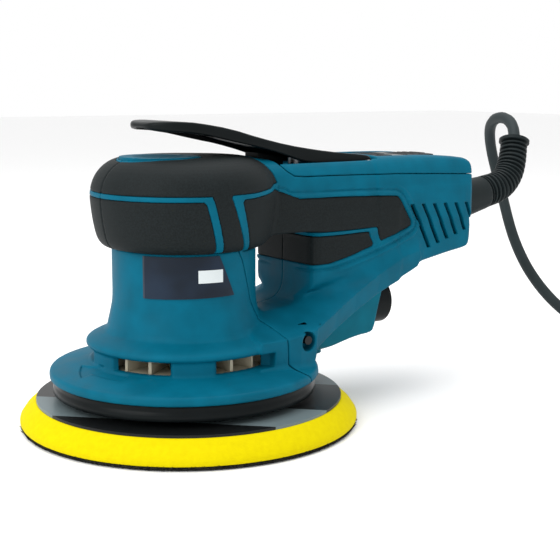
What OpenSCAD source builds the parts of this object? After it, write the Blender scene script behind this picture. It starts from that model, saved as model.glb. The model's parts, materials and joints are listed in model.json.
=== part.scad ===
// Corded random orbital sander, 150 mm pad.
// Millimetres. The drive shaft is the Z axis, the pad's lower face is z = 0, the cord leaves towards +X.

/* [Pad] */
// diameter of the pad and its hook face
pad_d = 150; // [140:1:185]
// diameter of the circle that the pad's spindle travels
orbit_d = 5; // [2:0.5:7]
// dust holes through the pad
pad_holes = 6; // [4:1:9]

/* [Body] */
// distance from the drive shaft to the rear face of the housing
body_len = 152; // [146:1:185]
// width of the rear housing
body_w = 54; // [50:1:62]
// blades on the dust fan
fan_blades = 20; // [12:1:28]

/* [Lever] */
// width of the paddle lever
lever_w = 37; // [30:1:38]
// how far the lever reaches in front of the drive shaft
lever_reach = 22; // [17:1:27]

/* [Connections] */
// outside diameter of the dust outlet
outlet_d = 23; // [20:0.5:25]
// diameter of the mains cord
cord_d = 6.3; // [5:0.1:7.5]

/* [Hidden] */
$fn = 96;
e = 0.01;
wall = 2.5;
grip_t = 1.8;
orbit = orbit_d / 2;
pad_r = pad_d / 2;
hole_r = 5;
hole_circle_r = 40;
fit = 0.05;
half_w = body_w / 2;
outlet_r = outlet_d / 2;
lever_half = lever_w / 2;

blue = [0.0, 0.42, 0.53];
light_blue = [0.12, 0.50, 0.58];
charcoal = [0.17, 0.18, 0.18];
black = [0.07, 0.07, 0.08];
yellow = [0.95, 0.87, 0.05];
cream = [0.85, 0.82, 0.70];
steel = [0.70, 0.71, 0.72];
copper = [0.72, 0.45, 0.25];

// rear of the body, stretched behind x = 100 when body_len changes
function rx(x) = x <= 100 ? x : 100 + (x - 100) * (body_len - 100) / 52;
function stretch(pts) = [for (p = pts) [rx(p[0]), p[1]]];
function wide(y) = y * half_w / 27;

// outline of the turned body, radius and height
barrel_outer = [[59.4, 21.5], [59.4, 24.8], [58.4, 25.6], [42.2, 28.8], [41.5, 29.6], [41.5, 35.2],
    [43.1, 36], [43.3, 37.4], [42.5, 38.6], [37.3, 41.3], [34.4, 43], [33.7, 46.2], [32.8, 49.8],
    [31.8, 54.2], [31.5, 58], [31.5, 79]];
barrel_inner = [[29.2, 79], [29.2, 42.5], [33.5, 39.6], [39.2, 37], [39.2, 28.2], [40, 27], [55, 24],
    [57, 23.2], [57, 21.5]];
nose_outer = [[31.5, 79], [34.8, 79.9], [36.5, 81.2], [38.1, 84.5], [39.3, 89.8], [40, 95], [40.5, 100.7],
    [40.3, 102.9], [39.8, 105.5], [38.9, 108.1], [37.5, 110.6], [35.4, 113.2], [31.9, 115.8], [28, 117.1],
    [22, 117.6]];
nose_core = [[31.5, 79], [33.2, 80.4], [34.9, 82], [36.3, 85], [37.5, 90], [38.2, 95], [38.7, 100.6],
    [38.5, 102.7], [38, 104.9], [37.2, 107.2], [36, 109.4], [34, 111.8], [30.8, 114.1], [27.4, 115.3],
    [22, 115.8]];
nose_hollow = [[33.4, 82.2], [34.4, 85.6], [35.5, 90.4], [36.2, 95.2], [36.7, 100.5], [36.5, 102.2],
    [36, 104.2], [35.3, 106.3], [34.2, 108.2], [32.6, 110.1], [29.8, 112.1], [26.8, 113.1], [0, 113.6]];

// side view outlines of the handle, x and z
handle_side = stretch([[24, 82.8], [53, 82.6], [53, 58], [70, 54], [84, 50], [96, 57], [107, 61], [118.4, 63.2],
    [119, 64], [127, 65.2], [134, 67], [146, 68.6], [149, 70], [150.3, 73], [151.2, 79], [152, 85],
    [152, 94], [151.4, 99], [149.6, 103.6], [148, 106], [42, 108.5], [36, 113], [31, 115.6], [24, 116]]);
handle_hollow_side = stretch([[26, 86.5], [58, 86.5], [62, 70], [80, 62], [97, 62], [118, 67], [134, 69.8],
    [146, 71.4], [148, 78], [149.2, 85], [149.2, 94], [148.6, 98.6], [147, 103], [44, 105.4], [37, 110],
    [31, 112.6], [26, 113]]);
// cross-section of the handle, y and z, right half
section_half = [[0, 119], [15, 118], [21, 114.5], [24.6, 108.6], [25.4, 106], [27, 101], [27, 92],
    [26.4, 78], [25, 69], [22, 60], [0, 48]];
hollow_half = [[0, 116], [14, 115], [19, 112], [22.2, 107], [22.9, 105], [24.4, 100.6], [24.4, 92],
    [23.8, 78], [22.2, 70], [19, 62], [0, 52]];
// lower arm that joins the skirt to the rear of the body
arm_side = [[14, 21.5], [43.6, 21.5], [44.4, 30], [55, 35.5], [72, 43], [88, 50], [104, 55], [114, 64],
    [106, 74], [86, 72], [74, 63.5], [62, 56.5], [51, 51], [42, 48.4], [14, 48.4]];
arm_hollow_side = [[16, 24], [41, 24], [41.8, 32], [54, 38.4], [71, 46], [87, 53.6], [102, 59], [104, 68],
    [88, 69], [76, 61], [63, 53.8], [51, 48.2], [42, 45.6], [16, 45.6]];
arm_plan = [[14, 43], [34, 42], [44, 39.6], [60, 34], [74, 30.5], [90, 28], [116, 26.4]];
arm_hollow_plan = [[14, 39.4], [34, 38.6], [44, 36.2], [60, 31], [74, 27.8], [90, 25.4], [116, 23.8]];

// line between the motor housing and the two rear halves
seam_line = [[-70, 79], [9, 79], [11.4, 74], [15.1, 63], [17.3, 56], [21, 51], [25.1, 44], [26.7, 38],
    [27.4, 28.8], [33, 24], [33.4, 10], [-70, 10]];

cord_r = cord_d / 2;
rear_shift = body_len - 152;
pillar_x = 54;
window_angles = [84, 148, 212, 276];
button_spots = [[104, 112.4], [rx(131), 112]];
section_core = [[0, 119], [15, 118], [21, 114.5], [24.6, 108.6], [25.2, 104], [25.2, 92], [24.6, 78], [23.2, 69],
    [20.2, 60], [0, 48]];
cover_side = stretch([[36.4, 113.6], [39, 111], [42.6, 108.6], [66, 108], [102, 107.2], [127, 106.2], [150, 105.2],
    [149.4, 107.4], [146.6, 111.8], [140, 113.4], [129, 114.6], [103, 115.2], [90, 115.4], [67, 115.2], [45, 115.6],
    [38, 115.8]]);
duct_side = [[41.6, 23.6], [60, 22.6], [70, 23], [76, 25.2], [82, 27.4], [90, 29.2], [98, 29.8], [99.6, 31.2], [101, 40],
    [104, 52], [100, 58], [87, 53], [71, 45.4], [54, 37.8], [41.6, 31.6]];
nose_regions = [
    [[-60, 103.3], [-9.9, 103.3], [-2, 79.6], [8.7, 79.8], [-0.8, 103.3], [24, 104.4], [31.4, 106], [29, 112],
        [24.6, 118], [-60, 118]],
    [[-60, 79.2], [-5.6, 79.4], [-12.8, 101], [-60, 101]],
    [[13.6, 79.8], [32, 81.5], [32, 103.8], [24, 102.4], [4.6, 101.2]]];
grip_regions = [
    [[32, 101.6], [36.6, 100.4], [42, 98.6], [68, 98.2], [100.4, 97.2], [102.6, 95.6], [110, 84], [108, 81.6],
        [94.4, 77], [91, 85.4], [60, 83.4], [50, 82.4], [32, 82]],
    [[46, 80.6], [60, 81], [88.8, 82.6], [91.2, 76], [74, 70.4], [62, 67.6], [46, 67.6]]];

module revolve(pts) rotate_extrude() polygon(pts);
module side_prism(pts, w = 70) translate([0, w, 0]) rotate([90, 0, 0]) linear_extrude(2 * w) polygon(pts);
module section_prism(pts, x0, x1)
    translate([x0, 0, 0]) rotate([90, 0, 90]) linear_extrude(x1 - x0)
        polygon(concat([for (p = pts) [wide(p[0]), p[1]]],
            [for (i = [len(pts) - 2:-1:1]) [-wide(pts[i][0]), pts[i][1]]]));
module plan_prism(pts, z0, z1)
    translate([0, 0, z0]) linear_extrude(z1 - z0)
        polygon(concat(pts, [for (i = [len(pts) - 1:-1:0]) [pts[i][0], -pts[i][1]]]));
// ---- volumes shared by the sub-parts ----
module nose_solid() revolve(concat([[0, 79]], nose_outer, [[0, 117.6]]));
module nose_core_solid() revolve(concat([[0, 79]], nose_core, [[0, 115.8]]));

module pillar(t, z0, z1) {
    r = 6 - t;
    half = 23.5 - t;
    translate([pillar_x + t, r - half, z0]) cube([50 - t, 2 * (half - r), z1 - z0]);
    translate([pillar_x + t + r, -half, z0]) cube([50 - t - r, 2 * half, z1 - z0]);
    for (s = [-1, 1]) translate([pillar_x + t + r, s * (half - r), z0]) cylinder(r = r, h = z1 - z0);
}

// handle, neck and rear box, inset by t on every side that carries rubber
module handle_bulk(t) intersection() {
    side_prism(handle_side);
    section_prism(t > 0 ? section_core : section_half, 20, body_len + 2);
    union() {
        translate([20, -40, 82.5 + t]) cube([200, 80, 60]);
        translate([88, -40, 40]) cube([140, 80, 60]);
        pillar(t, 46, 90);
    }
}
module arm_bulk() intersection() {
    side_prism(arm_side);
    plan_prism(arm_plan, 20, 80);
}
module handle_hollow() {
    intersection() {
        side_prism(handle_hollow_side);
        section_prism(hollow_half, 22, rx(149.2));
        union() {
            translate([24, -40, 86.8]) cube([200, 80, 60]);
            translate([92, -40, 40]) cube([140, 80, 60]);
            pillar(4, 60, 92);
        }
    }
    intersection() {
        side_prism(arm_hollow_side);
        plan_prism(arm_hollow_plan, 22, 80);
    }
}
module barrel_hollow() {
    revolve(concat([[0, 82.2]], nose_hollow));
    translate([0, 0, 40]) cylinder(r = 29.2, h = 43);
    revolve([[0, 20], [57, 20], [57, 23.2], [55, 24], [40, 27], [39.2, 28.2], [39.2, 37], [33.5, 39.6], [29.2, 42.5],
        [0, 42.5]]);
}
module windows() for (a = window_angles) rotate([0, 0, a]) translate([32, -13, 30]) cube([14, 26, 5]);

// one rubber panel of the nose: the layer between the core and the outer skin inside a side view region
module nose_layer(pts) difference() {
    intersection() {
        side_prism(pts);
        nose_solid();
    }
    nose_core_solid();
    translate([0, 0, 110]) cylinder(r = 26.5, h = 10);
    translate([-12, 0, 112]) cylinder(r = 17.4, h = 8);
}
module grip_layer(pts) difference() {
    intersection() {
        side_prism(pts);
        handle_bulk(0);
    }
    handle_bulk(grip_t);
}
module half_space(left) translate([-100, left ? -100 : 0, 0]) cube([320, 100, 140]);

module cover_block() intersection() {
    side_prism(cover_side);
    section_prism(section_half, 30, body_len + 2);
}
module duct_block() intersection() {
    side_prism(duct_side);
    rotate([90, 0, 90]) linear_extrude(160)
        polygon([[-13.6, 60], [-13.6, 31], [-12, 26.5], [-8, 23], [8, 23], [12, 26.5], [13.6, 31], [13.6, 60]]);
}
module screw_pair() for (s = [-1, 1]) translate([39, s * 31.5, 38]) rotate([s * 90, 0, 0]) children();

// ---- housing ----
module motor_housing() color(blue) difference() {
    intersection() {
        revolve(concat(barrel_outer, [[0, 79], [0, 21.5]]));
        side_prism(seam_line);
    }
    barrel_hollow();
    windows();
}

module shell(left) color(blue) difference() {
    intersection() {
        half_space(left);
        difference() {
            union() {
                revolve(concat(barrel_outer, [[0, 79], [0, 21.5]]));
                nose_solid();
                handle_bulk(0);
                arm_bulk();
            }
            side_prism(seam_line);
        }
    }
    barrel_hollow();
    handle_hollow();
    for (r = nose_regions) nose_layer(r);
    for (r = grip_regions) grip_layer(r);
    vent_slots();
    translate([-12, 0, 115]) cylinder(r = 17, h = 5);
    cover_block();
    duct_block();
    screw_pair() { cylinder(r = 4.2, h = 40); translate([0, 0, -8.5]) cylinder(r = 1.9, h = 9); }
    translate([120 + rear_shift, 0, 81.2]) rotate([0, 80.2, 0]) cylinder(r = 10.6, h = 90);
    translate([84, 0, 43]) rotate([0, 90, 0]) cylinder(r = outlet_r + 0.4, h = 34);
    translate([35.6, -5.4, 110]) cube([11, 10.8, 10]);
    windows();
}
module left_shell() shell(true);
module right_shell() shell(false);

module vent_slots() for (i = [0:5]) translate([rx(117.5 + i * 5.9), -40, 82.2 + i * 1.5])
    rotate([0, -27, 0]) translate([-1.1, 0, -(11.8 - i * 1.3)]) cube([2.3, 80, 2 * (11.8 - i * 1.3)]);

module nose_grip_top() color(charcoal) nose_layer(nose_regions[0]);
module nose_grip_front() color(charcoal) nose_layer(nose_regions[1]);
module handle_grip(left) color(charcoal) intersection() {
    half_space(left);
    union() {
        grip_layer(grip_regions[0]);
        nose_layer(nose_regions[2]);
    }
}
module handle_grip_left() handle_grip(true);
module handle_grip_right() handle_grip(false);
module pillar_grip(left) color(charcoal) intersection() {
    half_space(left);
    grip_layer(grip_regions[1]);
}
module pillar_grip_left() pillar_grip(true);
module pillar_grip_right() pillar_grip(false);

module nose_cap() color(blue) translate([-12, 0, 115]) difference() {
    cylinder(r = 17, h = 2.9);
    translate([0, 0, 41.2]) sphere(r = 40);
}

module name_plate() color(black) intersection() {
    difference() {
        translate([0, 0, 60]) cylinder(r = 32.1, h = 18);
        translate([0, 0, 50]) cylinder(r = 31.5, h = 40);
        translate([0, 0, 58]) cylinder(r1 = 31.5, r2 = 31.5, h = 4);
    }
    translate([0, e, 0]) rotate([90, 0, 0]) linear_extrude(50)
        polygon([[-28.4, 60], [5.4, 60.6], [-2, 77.8], [-28.4, 77.8]]);
}

module shroud_ring() color(black)
    revolve([[50, 14.8], [57.4, 14.8], [58.2, 15.8], [58.2, 18.2], [57, 20.4], [57, 23.2], [53, 23.2], [53, 18], [50, 18]]);

module bearing_plate() color(steel) difference() {
    union() {
        translate([0, 0, 42.5]) cylinder(r = 29.2, h = 3.3);
        translate([0, 0, 38.4]) cylinder(r = 14, h = 7.6);
    }
    translate([0, 0, 39]) cylinder(r = 11, h = 8);
    translate([0, 0, 38]) cylinder(r = 6, h = 3);
}
module lower_bearing() color(steel) translate([0, 0, 39]) ring(11, 4 + fit, 6.8);

module stator() color(steel) translate([0, 0, 51]) difference() {
    cylinder(r = 29.2, h = 24);
    translate([0, 0, -1]) cylinder(r = 15, h = 26);
    for (a = [0:8]) rotate([0, 0, a * 40]) translate([16.6, -3.4, -1]) cube([8.4, 6.8, 26]);
}
module windings() color(copper) {
    for (a = [0:8]) rotate([0, 0, a * 40]) translate([16.6, -3.4, 48.4]) cube([8.4, 6.8, 29.2]);
    for (z = [47, 75]) translate([0, 0, z]) difference() {
        cylinder(r = 26, h = 4);
        translate([0, 0, -1]) cylinder(r = 16.4, h = 6);
    }
}
module upper_bridge() color(black) translate([0, 0, 82.2]) {
    difference() {
        union() {
            cylinder(r = 31.8, h = 3);
            cylinder(r = 14, h = 7.4);
            for (a = [45:90:315]) rotate([0, 0, a]) translate([27, 0, 0]) cylinder(r = 2.6, h = 12.8);
        }
        translate([0, 0, -1]) cylinder(r = 11, h = 8);
        translate([0, 0, 5]) cylinder(r = 6, h = 3);
        for (a = [0:3]) rotate([0, 0, a * 90]) translate([22, 0, -1]) cylinder(r = 5, h = 6);
    }
}
module upper_bearing() color(steel) translate([0, 0, 82.2]) ring(11, 4 + fit, 6);
module controller_board() color([0.05, 0.30, 0.16]) translate([0, 0, 95]) cylinder(r = 32.5, h = 1.6);
module capacitor() color(steel) translate([-14, 0, 96.6]) cylinder(r = 8, h = 14);
module micro_switch() color(black) translate([26, -10, 96.6]) cube([6, 20, 11]);

module ring(r_out, r_in, h) difference() {
    cylinder(r = r_out, h = h);
    translate([0, 0, -1]) cylinder(r = r_in, h = h + 2);
}

module top_cover() color(blue) difference() {
    cover_block();
    translate([28, -lever_half - 0.8, 110]) cube([66, lever_w + 1.6, 12]);
    translate([60, -17, 100]) cube([rx(145) - 60, 34, 8.5]);
    translate([88, 0, 112.8]) rotate([90, 0, 0]) cylinder(r = 1.2, h = lever_w + 5, center = true);
    panel_block(6);
    button_wells();
}
module panel_block(up = 0) translate([0, 17, 0]) rotate([90, 0, 0]) linear_extrude(34)
    polygon([[96.4, 112 + up], [97.4, 114.5 + up], [rx(129), 114.4 + up], [rx(142.4), 113.2 + up], [rx(145), 111.8 + up],
        [rx(145), 110], [96.4, 110]]);
module button_shape(grow, h = 4) intersection() {
    translate([-20, -11 - grow, 0]) cube([40, 22 + 2 * grow, h]);
    cylinder(r = 12.5 + grow, h = h);
    translate([-8.5 - grow, -20, 0]) cube([17 + 2 * grow, 40, h]);
}
module button_wells() for (x = button_spots) translate([x[0], 0, x[1] - 1.4]) button_shape(0.35, 8);
module control_panel() color([0.30, 0.30, 0.30]) difference() {
    panel_block();
    button_wells();
}
module speed_button(i) color(black) translate([button_spots[i][0], 0, button_spots[i][1]]) difference() {
    button_shape(0, 3);
    translate([0, 0, 2.4]) for (x = [-6:3:6]) translate([x - 0.5, -20, 0]) cube([1, 40, 2]);
}
module speed_up() speed_button(0);
module speed_down() speed_button(1);

module switch_block() color(black) translate([0, 5, 0]) rotate([90, 0, 0]) linear_extrude(10)
    polygon([[36, 110], [50, 110], [50, 115.4], [36, 118]]);
module lever_pin() color(steel) translate([88, 0, 112.8]) rotate([90, 0, 0])
    cylinder(r = 1.2, h = lever_w + 4.8, center = true);
module lever_spring() color(steel) for (z = [110:1.6:114.8])
    translate([62, 0, z]) { ring(4.2, 3.2, 0.8); ring(4.6, 3.4, z < 114 ? 1.65 : 0.8); }

module dust_duct() color(light_blue) difference() {
    union() {
        duct_block();
        translate([70, 0, 20.6]) cylinder(r = 4, h = 3);
    }
    barrel_hollow();
    translate([30, 0, 34]) rotate([0, 83, 0]) cylinder(r = 9, h = 62);
    translate([88, 0, 43]) rotate([0, 90, 0]) cylinder(r = outlet_r, h = 40);
}
module dust_outlet() color(black) translate([88, 0, 43]) rotate([0, 90, 0]) difference() {
    cylinder(r = outlet_r, h = 24);
    translate([0, 0, -1]) cylinder(r = outlet_r - 2.2, h = 30);
    translate([0, 0, 23.4]) cylinder(r1 = outlet_r - 2.2, r2 = outlet_r - 1, h = 1.2);
}
module housing_screws() color(black) screw_pair() difference() {
    union() { cylinder(r = 3.9, h = 3); translate([0, 0, -8.2]) cylinder(r = 1.9, h = 9); }
    translate([0, 0, 1.2]) for (a = [0, 60, 120]) rotate([0, 0, a]) translate([-2, -0.6, 0]) cube([4, 1.2, 3]);
}

// ---- lever ----
lever_top = [[-lever_reach, 131.6], [-lever_reach + 2, 133.2], [-3, 132.4], [13, 129.6], [28, 125.4], [44, 121.8],
    [60, 119.2], [73, 117.6], [86, 116.4], [90.6, 115.6], [91.6, 113.6]];
lever_low = [[91, 111.2], [86, 110.6], [60, 112.6], [50, 114.6], [42, 117.4], [28, 121], [18, 122.8], [-3, 127.6],
    [-lever_reach + 3, 130.2]];
lever_under = [[-lever_reach - 6, 120], [-lever_reach + 2, 131], [-3, 130], [13, 127.2], [28, 123], [44, 119.4],
    [60, 116.8], [73, 115.2], [82, 114.2], [82, 100], [-30, 100]];
module lever() color(black) difference() {
    intersection() {
        translate([0, lever_half, 0]) rotate([90, 0, 0]) linear_extrude(lever_w) polygon(concat(lever_top, lever_low));
        union() {
            translate([lever_half - lever_reach, 0, 90]) cylinder(r = lever_half, h = 60);
            translate([lever_half - lever_reach, -lever_half, 90]) cube([120, lever_w, 60]);
        }
    }
    intersection() {
        translate([0, lever_half - 2, 0]) rotate([90, 0, 0]) linear_extrude(lever_w - 4) polygon(lever_under);
        union() {
            translate([lever_half - lever_reach, 0, 90]) cylinder(r = lever_half - 2, h = 60);
            translate([lever_half - lever_reach, -lever_half, 90]) cube([120, lever_w, 60]);
        }
    }
    translate([88, 0, 112.8]) rotate([90, 0, 0]) cylinder(r = 1.2 + fit, h = 80, center = true);
}

// ---- rotor: everything on the drive shaft ----
module drive_shaft() color(steel) translate([0, 0, 20.6]) cylinder(r = 4, h = 71);
module rotor_core() color([0.35, 0.36, 0.38]) translate([0, 0, 52]) ring(14.2, 4, 22);
module dust_fan() color(cream) translate([0, 0, 27.6]) {
    ring(38, 4, 1.4);
    ring(8, 4, 7.5);
    for (a = [0:fan_blades - 1]) rotate([0, 0, a * 360 / fan_blades]) translate([15, -0.7, 1.3]) cube([22.6, 1.4, 7]);
}
module eccentric() color(steel) difference() {
    union() {
        translate([0, 0, 20.6]) cylinder(r = 12, h = 7);
        translate([orbit, 0, 13]) cylinder(r = 5, h = 8);
    }
    translate([0, 0, 20.6]) cylinder(r = 4, h = 8);
}
module counterweight() color([0.45, 0.46, 0.48]) translate([0, 0, 21.8]) difference() {
    intersection() {
        cylinder(r = 30, h = 4.6);
        translate([-40, -26, -1]) cube([34, 52, 8]);
    }
    translate([0, 0, -1]) cylinder(r = 12, h = 8);
}

// ---- pad: free to turn on the offset spindle ----
module at_pad() translate([orbit, 0, 0]) children();
module dust_holes(z, h) for (a = [0:pad_holes - 1]) rotate([0, 0, a * 360 / pad_holes])
    translate([hole_circle_r, 0, z]) cylinder(r = hole_r, h = h);
module pad_bearing() color(steel) at_pad() translate([0, 0, 12.3]) ring(11, 5 + fit, 6.6);
module pad_hub() color(black) at_pad() translate([0, 0, 12.3]) difference() {
    union() {
        cylinder(r = 15, h = 6.6);
        cylinder(r = 22, h = 1.6);
    }
    translate([0, 0, -1]) cylinder(r = 11, h = 9);
}
module pad_plate() color([0.20, 0.20, 0.21]) at_pad() difference() {
    translate([0, 0, 11.1]) cylinder(r = pad_r - 7.2, h = 1.2);
    dust_holes(10, 4);
}
module pad_foam() color(yellow) at_pad() difference() {
    revolve([[0, 1.3], [pad_r - 0.8, 1.3], [pad_r, 2], [pad_r, 4], [pad_r - 2.4, 7.6], [pad_r - 6.6, 11.1], [0, 11.1]]);
    dust_holes(0, 12);
}
module hook_face() color(black) at_pad() difference() {
    cylinder(r = pad_r - 0.4, h = 1.3);
    dust_holes(-1, 4);
}

// ---- strain relief, cord and plug ----
module relief_collar() color(black) translate([138 + rear_shift, 0, 84.3]) rotate([0, 80.2, 0]) difference() {
    union() {
        cylinder(r = 10.6, h = 22);
        translate([0, 0, 22]) cylinder(r1 = 10.6, r2 = 8.6, h = 25);
    }
    translate([0, 0, -1]) cylinder(r = cord_r, h = 60);
}
relief_path = [[184.5, 0, 92.4], [188, 0, 93.1], [192, 0, 93.8], [195.6, 0.2, 94.8], [199, 0.6, 96.2], [202, 1.2, 98],
    [204.8, 1.9, 100.2], [207.2, 2.7, 102.8], [209.2, 3.6, 105.6], [211, 4.6, 108.6], [212.6, 5.7, 111.8],
    [214, 6.7, 115], [215.2, 7.6, 118.2]];
module between(a, b) {
    v = b - a;
    translate(a) rotate([0, acos(v[2] / norm(v)), atan2(v[1], v[0])]) children();
}
module strain_relief() color(black) translate([rear_shift, 0, 0]) {
    for (i = [0:len(relief_path) - 2]) between(relief_path[i], relief_path[i + 1]) {
        cylinder(r = 6.8 - i * 0.1, h = norm(relief_path[i + 1] - relief_path[i]) + 0.6);
        cylinder(r = 8.5 - i * 0.07, h = 1.7);
    }
}

// cord route from the strain relief to the coil, then from the coil to the plug
cord_route = [[215.2, 7.6, 118.8], [218, 10, 123], [221, 14, 127], [223.5, 20, 130], [225, 27, 131], [227, 34, 130],
    [230, 40, 127], [233.5, 44.5, 122.5], [237, 47, 117], [240, 48.5, 111], [242, 48.5, 105], [243, 47, 99],
    [243.5, 44.5, 92], [243, 41, 84], [242.5, 37, 75], [242, 33, 66], [242.5, 28, 56], [244, 22.5, 46], [247, 16.5, 36.5],
    [251, 9.5, 27.5], [256, 1.5, 19.5], [262, -8, 12.5], [268, -18, 7.5], [275, -28.5, 4.2], [284, -39, 3.2]];
tail_route = [[318, -56.5, 22], [328, -57, 21.4], [338, -57.5, 19.8], [348, -58, 18.2], [358, -58.5, 17.2], [368, -59, 17]];
coil_at = [320, -12];
coil_mid_r = 35;
coil_turn_w = 19;
coil_turn_h = 25.4;

function smooth_at(p, i, t) = let (n = len(p) - 1, a = p[max(i - 1, 0)], b = p[i], c = p[min(i + 1, n)],
    d = p[min(i + 2, n)]) 0.5 * ((2 * b) + (c - a) * t + (2 * a - 5 * b + 4 * c - d) * t * t
    + (3 * b - a - 3 * c + d) * t * t * t);
function smoothed(p, k) = concat([for (i = [0:len(p) - 2]) for (j = [0:k - 1]) smooth_at(p, i, j / k)], [p[len(p) - 1]]);
function unit(v) = v / norm(v);
function tangent(p, i) = unit(p[min(i + 1, len(p) - 1)] - p[max(i - 1, 0)]);
function frames(p, i = 0, acc = []) = i >= len(p) ? acc :
    let (t = tangent(p, i), u0 = i == 0 ? cross(t, [1, 0.3, 0]) : acc[i - 1], u = unit(u0 - t * (u0 * t)))
    frames(p, i + 1, concat(acc, [u]));
module tube(route, r, sides) {
    us = frames(route);
    n = len(route);
    pts = [for (i = [0:n - 1]) let (t = tangent(route, i), u = us[i], w = cross(t, u)) for (s = [0:sides - 1])
        route[i] + r * (cos(s * 360 / sides) * u + sin(s * 360 / sides) * w)];
    faces = concat([[for (s = [sides - 1:-1:0]) s]], [[for (s = [0:sides - 1]) (n - 1) * sides + s]],
        [for (i = [0:n - 2]) for (s = [0:sides - 1])
            [i * sides + s, i * sides + (s + 1) % sides, (i + 1) * sides + (s + 1) % sides, (i + 1) * sides + s]]);
    polyhedron(points = pts, faces = faces);
}
module cord() color([0.20, 0.21, 0.21]) tube(cord_route, cord_r, 10);
module cord_coil() color([0.20, 0.21, 0.21]) translate([coil_at[0], coil_at[1], 0]) rotate_extrude()
    polygon([[coil_mid_r - coil_turn_w / 2, 2], [coil_mid_r - coil_turn_w / 2 + 2, 0], [coil_mid_r + coil_turn_w / 2 - 2, 0],
        [coil_mid_r + coil_turn_w / 2, 2], [coil_mid_r + coil_turn_w / 2, coil_turn_h - 2],
        [coil_mid_r + coil_turn_w / 2 - 2, coil_turn_h], [coil_mid_r - coil_turn_w / 2 + 2, coil_turn_h],
        [coil_mid_r - coil_turn_w / 2, coil_turn_h - 2]]);
module cord_tail() color([0.20, 0.21, 0.21]) tube(tail_route, cord_r, 10);
module plug() color(black) translate([368, -59, 17]) rotate([0, 90, 0]) {
    cylinder(r1 = 5.4, r2 = 8, h = 16);
    translate([0, 0, 16]) cylinder(r1 = 14, r2 = 17, h = 8);
    translate([0, 0, 24]) cylinder(r = 17, h = 14);
}
module plug_pins() color(steel) for (s = [-1, 1]) translate([406, -59 + s * 9.5, 17]) rotate([0, 90, 0])
    cylinder(r = 2.4, h = 19);

motor_housing();
left_shell();
right_shell();
nose_grip_top();
nose_grip_front();
handle_grip_left();
handle_grip_right();
pillar_grip_left();
pillar_grip_right();
nose_cap();
name_plate();
shroud_ring();
bearing_plate();
lower_bearing();
stator();
windings();
upper_bridge();
upper_bearing();
controller_board();
capacitor();
micro_switch();
top_cover();
control_panel();
speed_up();
speed_down();
switch_block();
lever_pin();
lever_spring();
dust_duct();
dust_outlet();
housing_screws();
lever();
drive_shaft();
rotor_core();
dust_fan();
eccentric();
counterweight();
pad_bearing();
pad_hub();
pad_plate();
pad_foam();
hook_face();
relief_collar();
strain_relief();
cord();
cord_coil();
cord_tail();
plug();
plug_pins();
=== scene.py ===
import json
import math
import time

import bpy
import numpy as np
from mathutils import Matrix, Vector


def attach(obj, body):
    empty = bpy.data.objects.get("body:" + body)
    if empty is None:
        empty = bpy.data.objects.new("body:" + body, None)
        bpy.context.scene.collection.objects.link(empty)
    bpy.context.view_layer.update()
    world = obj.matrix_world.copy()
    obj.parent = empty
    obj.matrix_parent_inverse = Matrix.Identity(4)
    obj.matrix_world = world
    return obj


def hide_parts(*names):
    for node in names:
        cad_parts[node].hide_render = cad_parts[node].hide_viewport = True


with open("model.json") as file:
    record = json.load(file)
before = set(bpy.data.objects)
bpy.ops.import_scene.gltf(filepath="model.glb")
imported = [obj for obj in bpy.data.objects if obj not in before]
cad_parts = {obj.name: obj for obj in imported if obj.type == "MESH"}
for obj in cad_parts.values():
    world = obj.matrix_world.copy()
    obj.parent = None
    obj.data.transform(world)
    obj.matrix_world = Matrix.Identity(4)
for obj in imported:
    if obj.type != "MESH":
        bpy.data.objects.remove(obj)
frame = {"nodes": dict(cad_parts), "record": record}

started = time.time()
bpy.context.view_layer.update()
MM = 0.001
padOffset = 2.5 * MM


def say(text):
    print(f"{time.time() - started:6.1f} s  {text}")


# camera
view = {
    "tones": "Standard",
    "place": (-0.2650, -0.4367, 0.1502),
    "heading": 54.0,
    "pitch": -9.70,
    "roll": 0.27,
    "lens": 75.2,
}
turn, dip, lean = (math.radians(view[k]) for k in ("heading", "pitch", "roll"))
forward = Vector((math.cos(turn) * math.cos(dip), math.sin(turn) * math.cos(dip), math.sin(dip)))
side = forward.cross(Vector((0, 0, 1))).normalized()
above = side.cross(forward)
side, above = side * math.cos(lean) + above * math.sin(lean), above * math.cos(lean) - side * math.sin(lean)
camera = bpy.data.objects.new("camera", bpy.data.cameras.new("camera"))
camera.data.lens = view["lens"]
camera.data.sensor_width = 36
camera.data.clip_start = 0.01
facing = Matrix((side, above, -forward)).transposed().to_4x4()
camera.matrix_world = Matrix.Translation(view["place"]) @ facing
bpy.context.scene.collection.objects.link(camera)
bpy.context.scene.camera = camera
bpy.context.scene.view_settings.view_transform = view["tones"]


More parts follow.
